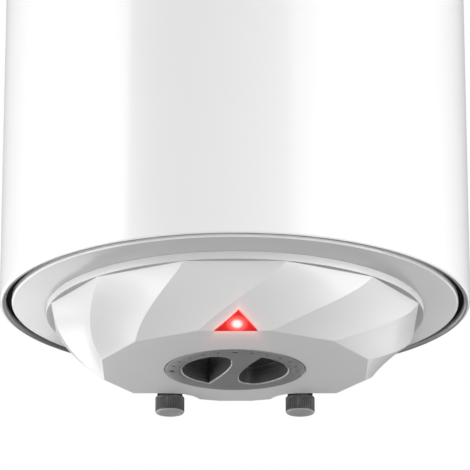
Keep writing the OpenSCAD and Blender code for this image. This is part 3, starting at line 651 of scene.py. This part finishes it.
pan_wall = 2
pan_edge_r = 1.5
mouth_r, mouth_lip = 70, 6
pan_pipe_r = 14
pan_profile = (
    [(mouth_r, pan_low.z), (disc_r - 1, pan_low.z), (disc_r, pan_low.z)]
    + [(disc_r + 2, pan_low.z + 0.06), (disc_r + 4, pan_low.z + 0.22)]
    + arc((pan_r - pan_edge_r, pan_edge_r), pan_edge_r, -86, 0, 8)
    + [(pan_r, pan_high.z - 0.4), (pan_r - 0.4, pan_high.z), (pan_r - pan_wall, pan_high.z),
       (pan_r - pan_wall, pan_wall)]
    + [(disc_r, 0), (mouth_r + pan_wall, 0), (mouth_r + pan_wall, mouth_lip), (mouth_r, mouth_lip)]
)
pan = piece("pan_ring", *lathe(pan_profile, 300))
for side in (-1, 1):
    combine(pan, scratch(*prism(circle(pan_pipe_r, 64, (side * pipe_x, pipe_y)), -12, 12)))
# The pan's rounded outer edge gets the painted highlight finish
placed(pan, "heater", "pan_plastic", ["pan_plastic", "pan_edge_painted_highlight"], "bottom_pan", smooth=28,
       by_face=[int(from_axis(f) > pan_r - 1.1) for f in pan.data.polygons])

# ------------------------------------------------------------------ swirl cover

start_r = 140.8
slope_angle = math.radians(33)


def corner_radius(t):
    """Corner radius from the disc (t = 0) to the face (t = 1), bulging in between."""
    return start_r * (1 - t) + face_r * t + 25.5 * t * (1 - t)


def corner_turn(t):
    """Turn of the corners on the way down: slow at first, then faster."""
    return math.radians(-30 * (t - 0.555 * t * (1 - t)))


def dodecagon(r, turn, inset=0.0, corner=1.4, along=10):
    """Outline of the twelve-sided section, its corners slightly rounded, with points along each side."""
    reach = r - inset / math.cos(math.pi / CORNERS)
    tips = [(reach * math.cos(turn + TURN * (k + 0.5) / CORNERS),
             reach * math.sin(turn + TURN * (k + 0.5) / CORNERS)) for k in range(CORNERS)]
    steps = 4
    rounded = filleted(tips, corner, steps)
    made = []
    for i, p in enumerate(rounded):
        made.append(p)
        if i % (steps + 1) == steps:
            q = rounded[(i + 1) % len(rounded)]
            made += [(p[0] + (q[0] - p[0]) * j / along, p[1] + (q[1] - p[1]) * j / along)
                     for j in range(1, along)]
    return made


def swirl_levels(inset, lift, rounding):
    """Loops of the swirl from its face up; rounding is the radius of the face's edge, or 0."""
    depth = face_z - disc_foot
    levels = [[(x, y, disc_foot + 3) for x, y in dodecagon(corner_radius(0), 0, inset)]]
    steps = 26
    for i in range(steps if rounding else steps + 1):
        t = i / steps
        levels.append([(x, y, disc_foot + depth * t + lift)
                       for x, y in dodecagon(corner_radius(t), corner_turn(t), inset)])
    if rounding:
        tangent = rounding * math.tan(slope_angle / 2)
        for k in range(6):
            a = slope_angle * (1 - k / 5)
            back = tangent - rounding * math.sin(a)
            levels.append([(x, y, face_z + rounding * (1 - math.cos(a))) for x, y in
                           dodecagon(corner_radius(1), corner_turn(1), inset + back)])
    return levels[::-1]


def rear_space(grow, top):
    """The cutters that leave room for the pipes and the wall side, up to top: a round notch at each
    pipe, open to its side, and a rear edge that falls away from its flat middle."""
    foot, far = -100, 220
    slope, flat = 0.3, 12
    notch_y = notch_mid_y - notch_r - grow
    made = []
    for side in (-1, 1):
        made.append(prism(circle(notch_r + grow, 120, (side * pipe_x, notch_mid_y)), foot, top))
        x0, x1 = sorted((side * pipe_x, side * far))
        made.append(prism([(x0, notch_y), (x1, notch_y), (x1, far), (x0, far)], foot, top))
    rear = rear_y - grow
    end = 2 * notch_r
    low = rear - slope * (end - flat)
    made.append(prism([(-end, low), (-flat, rear), (flat, rear), (end, low), (far, low), (far, far),
                       (-far, far), (-far, low)], foot, top))
    return made


cover_wall = 2.5
over_disc = 5           # any height above the disc's top
disc_profile = [(0, disc_top), (0, disc_foot)] + filleted(
    [(disc_r - 10, disc_foot), (disc_r, disc_foot), (disc_r, disc_top), (disc_r - 10, disc_top)],
    [0, 0.5, 0.4, 0], 3)
cover = scratch(*stack(swirl_levels(0, 0, 2.2)))
for cutter in rear_space(0, disc_foot):
    combine(cover, scratch(*cutter))
combine(cover, scratch(*lathe(disc_profile, 360)), "UNION")
hollow = scratch(*stack(swirl_levels(0.8 * cover_wall, cover_wall, 0)))
for cutter in rear_space(cover_wall, disc_foot + cover_wall):
    combine(hollow, scratch(*cutter))
combine(cover, hollow)
combine(cover, scratch(*prism(circle(disc_r - cover_wall, 300), disc_foot + cover_wall, over_disc)))
for side in (-1, 1):
    combine(cover, scratch(*prism(circle(pipe_gap_r, 72, (side * pipe_x, pipe_y)),
                                  disc_foot - 5, over_disc)))

hole_r = knob_r + 0.4
lead_in = 0.45
combine(cover, scratch(*lathe(
    [(0, face_z - 3), (hole_r + lead_in, face_z - 3), (hole_r + lead_in, face_z),
     (hole_r, face_z + lead_in), (hole_r, face_z + 13), (0, face_z + 13)], 240)))
tick = filleted([(-2, -0.8), (2, -0.8), (2, 0.8), (-2, 0.8)], 0.7, 3)
tick_y = -56
combine(cover, scratch(*prism([(x, y + tick_y) for x, y in tick], face_z - 2, face_z + 0.5)))
lens_gap = 0.12
combine(cover, scratch(*moved(prism(grown(LAMP_OUTLINE, lens_gap), -7, 4), LAMP)))
combine(cover, scratch(*moved(prism(circle(8, 48), 0, 16),
                              shift(0, rear_y + 5, gland_z) @ spin(90, "X"))))
cover.name = "swirl_cover_body"
cover.data.name = cover.name
# The disc's flat underside beside the facets gets the painted shade finish
placed(cover, "heater", "cover_plastic", ["cover_plastic", "disc_painted_shade"], "swirl_cover", smooth=22,
       by_face=[int(abs(f.center.z - disc_foot) < 0.3 and f.normal.z < -0.9 and f.center.y < 60)
                for f in cover.data.polygons])

# ------------------------------------------------------------------ knob

# Outline of one finger pocket: round the circle from its tip to its lobe, round the lobe, and along
# the grip bar's curved flank back to the tip
pocket_r = 39.5
lobe_r = 11
lobe_angle = 240.6
tip = (-19.5, 33.5)
pull = (-0.5, -7)       # control point of the flank's curve
tip_angle = math.degrees(math.atan2(tip[1], tip[0]))
lobe_at = ((pocket_r - lobe_r) * math.cos(math.radians(lobe_angle)),
           (pocket_r - lobe_r) * math.sin(math.radians(lobe_angle)))
outer_arc = arc((0, 0), pocket_r, tip_angle, lobe_angle, 36)
lobe_arc = arc(lobe_at, lobe_r, lobe_angle + 6, 370, 20)
bend = lobe_arc[-1]
flank = [((1 - s) ** 2 * bend[0] + 2 * s * (1 - s) * pull[0] + s * s * tip[0],
          (1 - s) ** 2 * bend[1] + 2 * s * (1 - s) * pull[1] + s * s * tip[1])
         for s in [i / 20 for i in range(1, 20)]]
pocket = outer_arc + lobe_arc + flank
ledge = [1] * len(outer_arc) + [max(0.0, 1 - i / 8) for i in range(len(lobe_arc))] + [0] * len(flank)

knob_z0, knob_z1 = knob_low.z, knob_high.z
ring_in, ring_out = 41.5, 42.1      # fine groove round the pockets
knob_profile = [
    (0, knob_z0), (ring_in, knob_z0), (ring_in + 0.15, knob_z0 + 0.3), (ring_out - 0.15, knob_z0 + 0.3),
    (ring_out, knob_z0), (knob_r - 0.9, knob_z0), (knob_r - 0.3, knob_z0 + 0.2), (knob_r, knob_z0 + 0.8),
    (knob_r, knob_z1), (0, knob_z1)]
knob = scratch(*lathe(knob_profile, 240))

# Depth, growth all round, and growth where the two ledges are; the last rows round the floor's edge
pocket_depth = 14
pocket_levels = [(-1, 0.75, 0), (-0.02, 0.75, 0), (0.25, 0.28, 0), (0.75, 0, 0), (5.2, 0, 0),
                 (5.5, 0, -0.9), (9.0, 0, -0.95), (9.3, 0, -1.8), (pocket_depth - 2.2, 0, -1.9),
                 (pocket_depth - 1.2, -0.3, -1.9), (pocket_depth - 0.4, -1.0, -1.9),
                 (pocket_depth, -2.2, -1.9)]
for half_turn in (0, 180):
    loops = []
    for depth, grow, step in pocket_levels:
        line = grown(pocket, step, ledge) if step else pocket
        loops.append([(x, y, knob_z0 + depth) for x, y in (grown(line, grow) if grow else line)])
    combine(knob, scratch(*moved(stack(loops), spin(half_turn, "Z"))))

# Dots of the scale, the large one in the middle, then the hot end's wedge and the cold end's star
mark_r = 47.0
marks = []
for k in range(-5, 6):
    a = math.radians(-90 + 15 * k)
    marks.append(circle(1.2 if k else 2.3, 20, (mark_r * math.cos(a), mark_r * math.sin(a))))
marks.append(filleted([(-mark_r - 2.2, 3.4), (-mark_r + 0.2, -3.6), (-mark_r + 2.4, 3.4)], 0.35, 2))
star = [(mark_r + 1.7 * math.cos(math.radians(60 * k)), 3.4 * math.sin(math.radians(60 * k)))
        for k in range(6)] + [(mark_r, 0)]
marks += [circle(0.62, 12, p) for p in star]
combine(knob, joined("scratch", [prism(m, knob_z0 - 1, knob_z0 + 0.4) for m in marks]))
knob.name = "knob_disc"


def knob_finish(face):
    """0 on the disc; 1 in a pocket, darker as painted shade; 2 on a pocket's edge, lighter as a painted
    highlight.
    """
    depth = face.center.z - knob_z0
    if from_axis(face) >= pocket_r + 0.6:
        return 0
    if depth < 0.8 and 0.05 < abs(face.normal.z) < 0.98:
        return 2
    return int(0.8 < depth < 16)


# The pockets get painted shade, and their bevelled mouths a painted highlight
placed(knob, "knob", "knob_plastic", ["knob_plastic", "knob_pocket_painted_shade", "knob_edge_painted_highlight"], "control_knob",
       smooth=28, by_face=[knob_finish(f) for f in knob.data.polygons])
placed(joined("knob_scale_marks",
              [prism(grown(m, 0.03), knob_z0 + 0.22, knob_z0 + 0.6) for m in marks]),
       "knob", "knob_plastic", ["mark_paint"])

# ------------------------------------------------------------------ pipe caps and threads

cap_ribs = 40
rib_depth = 0.42
cap_bore_r = 10.53


def ribbed_cap(side):
    """Cap with a raised rim round its flat end, ribs on its side, and a bore for the pipe."""
    foot, top = cap_low.z, cap_high.z
    rows = [(3, foot + 0.25, 0), (cap_r - 3.2, foot + 0.25, 0), (cap_r - 2.9, foot, 0),
            (cap_r - 1.1, foot, 0), (cap_r - 0.75, foot + 0.12, 0), (cap_r - 0.15, foot + 0.9, 0),
            (cap_r, foot + 1.3, 0), (cap_r, foot + 1.8, 0.1), (cap_r, foot + 2.2, rib_depth),
            (cap_r, top - 1.9, rib_depth), (cap_r, top - 1.5, 0.1), (cap_r, top - 1.2, 0),
            (cap_r, top - 0.35, 0), (cap_r - 0.2, top, 0), (cap_bore_r + 0.1, top, 0),
            (cap_bore_r, top - 0.3, 0), (cap_bore_r, foot + 1.5, 0)]
    return stack([ribbed_ring(r, z, depth, cap_ribs, 0.55, (side * pipe_x, pipe_y))
                  for r, z, depth in rows])


for name, side in (("cold_cap", 1), ("hot_cap", -1)):
    cap = piece(name + "_ribbed", *ribbed_cap(side))
    count = len(cap.data.polygons)
    end_faces = 5 * 6 * cap_ribs        # the five lowest bands; the end's middle is the last but one
    placed(cap, name + "_body", "cap_plastic", ["cap_plastic", "cap_face"], name, smooth=24,
           by_face=[int(i < end_faces or i == count - 2) for i in range(count)])

thread_pitch = 1.814
thread_len = 11
nipple_low, nipple_high = box_mm("cold_nipple")


def threaded_pipe(side):
    """Nipple with a G 1/2 thread on its lower end."""
    crest, root, neck, bore = 10.4775, 9.32, 8.9, 7.2
    foot = nipple_low.z
    around, rows = 60, 78

    def ring(z, radius):
        """Ring at z; radius is a number, or a function of the angle."""
        made = []
        for i in range(around):
            a = TURN * i / around
            r = radius(a) if callable(radius) else radius
            made.append((side * pipe_x + r * math.cos(a), pipe_y + r * math.sin(a), z))
        return made

    def thread(up):
        """Radius by the angle at a height above the foot; the thread runs out at both ends."""
        def at(a):
            phase = (up / thread_pitch - a / TURN) % 1
            wave = min(1, max(0, 1.35 * (1 - abs(2 * phase - 1)) - 0.17))
            fade = min(1, up / 1.2, max(0, thread_len - up))
            return root + (crest - root) * wave * fade
        return at

    levels = [ring(nipple_high.z, bore), ring(foot, bore), ring(foot, root - 0.3)]
    for i in range(rows + 1):
        up = thread_len * i / rows
        levels.append(ring(foot + up + 0.01, thread(up)))
    levels += [ring(foot + thread_len + 0.3, neck), ring(nipple_high.z, neck)]
    return stack(levels, "joined")


for name, side in (("cold_nipple", 1), ("hot_nipple", -1)):
    placed(piece(name + "_threaded", *threaded_pipe(side)), "heater", "plated_steel", ["plated_steel"],
           name, smooth=50)

# ------------------------------------------------------------------ lamp lens

lens_levels = [(-2.6, 0.0), (0.2, 0.0), (0.42, -0.1), (0.55, -0.3), (0.6, -0.6)]
base_line = filleted(LAMP_OUTLINE, 0.5, 4)
lens = [[(x, y, z) for x, y in grown(base_line, g)] for z, g in lens_levels]
placed(piece("lamp_window", *moved(stack(lens), LAMP)), "heater", "lens_red", ["lens_red"],
       "lamp_lens", smooth=40)

# ------------------------------------------------------------------ bracket and its bolts

bolt_x, bolt_z = 24, 16
bolt_r = 4
head_r, head_h = 7.5, 5.3
strip_t = 2.5
bolt_low, bolt_high = box_mm("bracket_bolts")
head_y = bolt_high.y - head_h


def chamfered_hex(r, height):
    """Hex head whose corners are turned off by a 30 degree cone at its top."""
    head = scratch(*prism(circle(r, 6), 0, height))
    flat = r * math.cos(math.pi / 6)
    fall = (r + 1 - flat) * math.tan(math.radians(30))
    combine(head, scratch(*lathe([(0, -1), (r + 1, -1), (r + 1, height - fall), (flat * 0.97, height),
                                  (0, height)], 60)), "INTERSECT")
    return taken(head)


bolt_head = chamfered_hex(head_r, head_h)
shank_z = bolt_low.y - head_y
shank = lathe([(0, shank_z), (bolt_r - 0.5, shank_z), (bolt_r, shank_z + 0.6), (bolt_r, 0.2), (0, 0.2)],
              32)
bolts = []
for x in (-bolt_x, bolt_x):
    for z in (-bolt_z, bolt_z):
        tightened = 7 * x / bolt_x + z
        turn = shift(x, head_y, bracket_mid + z) @ spin(-90, "X") @ spin(tightened, "Z")
        bolts += [moved(bolt_head, turn), moved(shank, turn)]
placed(joined("bracket_hex_bolts", bolts), "heater", "plated_steel", ["plated_steel"], "bracket_bolts",
       smooth=25)

saddle_line = head_y - strip_t / 2
wall_line = wall_y - strip_t / 2
half_w = (bracket_high.x - bracket_low.x) / 2
centre_line = [(-half_w, wall_line), (-62, wall_line), (-42, saddle_line), (42, saddle_line),
               (62, wall_line), (half_w, wall_line)]


def strip(path, t, bend_r):
    """Closed outline of a bent strip with rounded bends."""
    both = []
    for sign in (1, -1):
        side = []
        for i, p in enumerate(path):
            p = Vector(p)
            a = (p - Vector(path[i - 1])).normalized() if i else None
            b = (Vector(path[i + 1]) - p).normalized() if i < len(path) - 1 else None
            a, b = a or b, b or a
            normal = Vector((-(a.y + b.y), a.x + b.x)).normalized()
            side.append(tuple(p + normal * sign * t / 2 / normal.dot(Vector((-a.y, a.x)))))
        both.append(side)
    line = both[0] + both[1][::-1]
    n = len(path)
    radii = [0] * (2 * n)
    for i in range(1, n - 1):
        a = Vector(path[i]) - Vector(path[i - 1])
        b = Vector(path[i + 1]) - Vector(path[i])
        left = a.x * b.y - a.y * b.x > 0
        radii[i] = bend_r if left else bend_r + t
        radii[2 * n - 1 - i] = bend_r + t if left else bend_r
    return filleted(line[::-1], radii[::-1], 5)


plate_h, plate_corner = 60, 7
wall_hole_x, wall_hole_r = 95, 5.25
bracket = scratch(*prism(strip(centre_line, strip_t, strip_t), bracket_low.z, bracket_high.z))
to_wall = shift(0, wall_y + 5, bracket_mid) @ spin(90, "X")
past = (-5, 60)         # from beyond the wall to inside the casing
plate = filleted([(-half_w, -plate_h / 2), (half_w, -plate_h / 2), (half_w, plate_h / 2),
                  (-half_w, plate_h / 2)], plate_corner, 6)
combine(bracket, scratch(*moved(prism(plate, *past), to_wall)), "INTERSECT")
holes = [(x, z, bolt_r + 0.5) for x in (-bolt_x, bolt_x) for z in (-bolt_z, bolt_z)]
holes += [(x, 0, wall_hole_r) for x in (-wall_hole_x, wall_hole_x)]
combine(bracket, joined("scratch", [moved(prism(circle(r, 48, (x, z)), *past), to_wall)
                                    for x, z, r in holes]))
soften(bracket, 0.35, 50)
bracket.name = "bracket_strip"
placed(bracket, "heater", "bracket_paint", ["bracket_paint"], "wall_bracket", smooth=20)

# ------------------------------------------------------------------ wall spacer

spacer_low, spacer_high = box_mm("wall_spacer")
spacer_r = (spacer_high.x - spacer_low.x) / 2
spacer_z = (spacer_high.z + spacer_low.z) / 2
spacer_y = casing_r - 5
spacer_len = wall_y - spacer_y
spacer_edge = 1.2
screw_hole_r, sink_r, sink_depth = 2.15, 5.0, 8
spacer_profile = (
    [(screw_hole_r, 0), (spacer_r, 0)]
    + arc((spacer_r - spacer_edge, spacer_len - spacer_edge), spacer_edge, 0, 90, 5)
    + [(sink_r + 0.6, spacer_len), (sink_r, spacer_len - 0.6), (sink_r, spacer_len - sink_depth),
       (screw_hole_r, spacer_len - sink_depth)]
)
spacer = scratch(*moved(lathe(spacer_profile, 96), shift(0, spacer_y, spacer_z) @ spin(-90, "X")))
combine(spacer, scratch(*prism(circle(casing_r + 0.1, 720), 0, 200)))
spacer.name = "spacer_buffer"
placed(spacer, "heater", "black_plastic", ["black_plastic"], "wall_spacer")

# ------------------------------------------------------------------ cover screws


def pan_screw(r, height, slot_w, slot_len):
    """Domed screw head with a cross recess, its foot at z = 0."""
    rise = height * 0.35
    dome = (
        [(0, 0), (r, 0), (r, rise)]
        + [(r * math.cos(a), rise + height * 0.65 * math.sin(a))
           for a in [math.pi / 2 * i / 8 for i in range(1, 8)]]
        + [(0, height)]
    )
    head = scratch(*lathe(dome, 40))
    bar = [(-slot_len, -slot_w), (slot_len, -slot_w), (slot_len, slot_w), (-slot_len, slot_w)]
    for a in (0, 90):
        combine(head, scratch(*moved(prism(bar, height * 0.45, height + 1), spin(a, "Z"))))
    return taken(head)


screw_x, screw_y = 27, 122
screw_head = pan_screw(3.5, 2.0, 0.38, 2.0)
screw_shank = lathe([(0, 0), (1.4, 0), (1.4, 8), (0.4, 10), (0, 10)], 24)
screws = []
for x in (-screw_x, screw_x):
    tightened = Matrix.Rotation(0.4 + x, 4, "Z")
    screws.append(moved(screw_head, shift(x, screw_y, disc_foot) @ spin(180, "X") @ tightened))
    screws.append(moved(screw_shank, shift(x, screw_y, disc_foot - 0.1)))
placed(joined("cover_pan_screws", screws), "heater", "plated_steel", ["plated_steel"], "cover_screws")

# ------------------------------------------------------------------ cable gland

to_gland = shift(0, rear_y, gland_z) @ spin(-90, "X")
gland_end = gland_high.y - rear_y
gland_ribs = 16
gland_bore_r, body_r, gland_foot = 4.0, 7.95, -10
hex_r, hex_h = 10.5, 4
gland_rows = [(hex_h, 9.0, 0), (hex_h + 0.4, 9.0, 0.45), (10.2, 8.9, 0.45), (10.6, 8.8, 0),
              (12.2, 8.0, 0), (gland_end - 0.5, 6.6, 0), (gland_end, 6.0, 0),
              (gland_end, gland_bore_r, 0), (gland_foot, gland_bore_r, 0), (gland_foot, body_r, 0),
              (hex_h - 0.1, body_r, 0)]
gland_body = stack([ribbed_ring(r, z, depth, gland_ribs, 0.7) for z, r, depth in gland_rows], "joined")
gland_hex = scratch(*moved(chamfered_hex(hex_r, hex_h), to_gland))
combine(gland_hex, scratch(*moved(prism(circle(body_r - 0.05, 60), -1, hex_h + 1), to_gland)))
placed(joined("gland_body", [moved(gland_body, to_gland), taken(gland_hex)]), "heater", "black_plastic",
       ["black_plastic"], "cable_gland")

# ------------------------------------------------------------------ finishes of the CAD nodes that stay

slot_of = {part["node"]: part["material_slot"] for part in frame["record"]["subparts"]}
stood_for = {n for o in bpy.context.scene.objects for n in o.get("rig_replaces", [])}
for node, thing in frame["nodes"].items():
    if node in stood_for:
        continue
    thing.data.materials.clear()
    thing.data.materials.append(paint[slot_of[node]])

# ------------------------------------------------------------------ studio

scene = bpy.context.scene
scene.view_settings.view_transform = "Standard"
scene.view_settings.look = "None"

world = bpy.data.worlds.new("studio")
world.use_nodes = True
scene.world = world
nodes, link = world.node_tree.nodes, world.node_tree.links.new

# The room gives a little light from all sides, and is plain white where the camera sees it
room = nodes["Background"]
room.inputs["Color"].default_value = (1, 1, 1, 1)
room.inputs["Strength"].default_value = 0.18
paper = nodes.new("ShaderNodeBackground")
paper.inputs["Color"].default_value = (1, 1, 1, 1)
paper.inputs["Strength"].default_value = 1.0
choose = nodes.new("ShaderNodeMixShader")
link(nodes.new("ShaderNodeLightPath").outputs["Is Camera Ray"], choose.inputs["Fac"])
link(room.outputs["Background"], choose.inputs[1])
link(paper.outputs["Background"], choose.inputs[2])
link(choose.outputs["Shader"], nodes["World Output"].inputs["Surface"])

light_distance = 2.4


def soft_light(name, azimuth, elevation, width, height, watts):
    """Area light aimed at the lower end. Azimuth 0 is the camera's side, and 90 is on its left."""
    a, e = math.radians(azimuth), math.radians(elevation)
    data = bpy.data.lights.new(name, "AREA")
    data.shape, data.size, data.size_y, data.energy = "RECTANGLE", width, height, watts
    thing = bpy.data.objects.new(name, data)
    scene.collection.objects.link(thing)
    back = Vector((-math.sin(a) * math.cos(e), -math.cos(a) * math.cos(e), math.sin(e)))
    thing.location = rim_centre + back * light_distance
    thing.rotation_mode = "QUATERNION"
    thing.rotation_quaternion = back.to_track_quat("Z", "Y")
    thing.visible_camera = False


for row in (("left_side", 95, 0, 1.2, 2.6, 26), ("left_front", 65, 0, 1.2, 2.6, 42),
            ("right_front", -65, 0, 1.2, 2.6, 51), ("right_fill", -38, 0, 1.0, 2.6, 18),
            ("left_low", 75, -30, 1.2, 1.2, 8.5), ("right_low", -40, -30, 1.2, 1.2, 7.5),
            ("left_low_rear", 115, -25, 1.2, 1.2, 8), ("left_rear", 155, -20, 1.4, 1.0, 11),
            ("right_rear", -155, -20, 1.4, 1.0, 6)):
    soft_light(*row)

# Pale floor, far enough below that no view from under the heater meets it. It throws no light back.
floor_drop = 9.5
floor_r = 6000
floor_place = Matrix.Translation(rim_centre - Vector((0, 0, floor_drop))) @ Matrix.Scale(MM, 4)
floor = piece("floor", *prism(circle(floor_r, 96), -20, 0), floor_place)
floor.data.materials.append(finish("floor_paper", (0.86, 0.86, 0.86), 0.7, tone=0.01, tone_mm=900,
                                   bump=((3, 0.05, 0.05),)))
floor.visible_diffuse = floor.visible_glossy = False

# Straight down, so that it reaches the lid and the floor and no upright wall
overhead = bpy.data.lights.new("overhead", "SUN")
overhead.energy, overhead.angle = 1.9, math.radians(4)
scene.collection.objects.link(bpy.data.objects.new("overhead", overhead))

camera_data = bpy.data.cameras.new("camera")
camera_data.lens, camera_data.sensor_width = 263.3, 36
camera_data.clip_end = 100
camera = bpy.data.objects.new("camera", camera_data)
scene.collection.objects.link(camera)
camera_tilt = math.radians(-18.72)
camera_distance = 2.6
aim = rim_centre + Vector((0, 0, 0.0578))
back = Vector((0, -math.cos(camera_tilt), math.sin(camera_tilt)))
camera.location = aim + back * camera_distance
camera.rotation_mode = "QUATERNION"
camera.rotation_quaternion = back.to_track_quat("Z", "Y")
scene.camera = camera
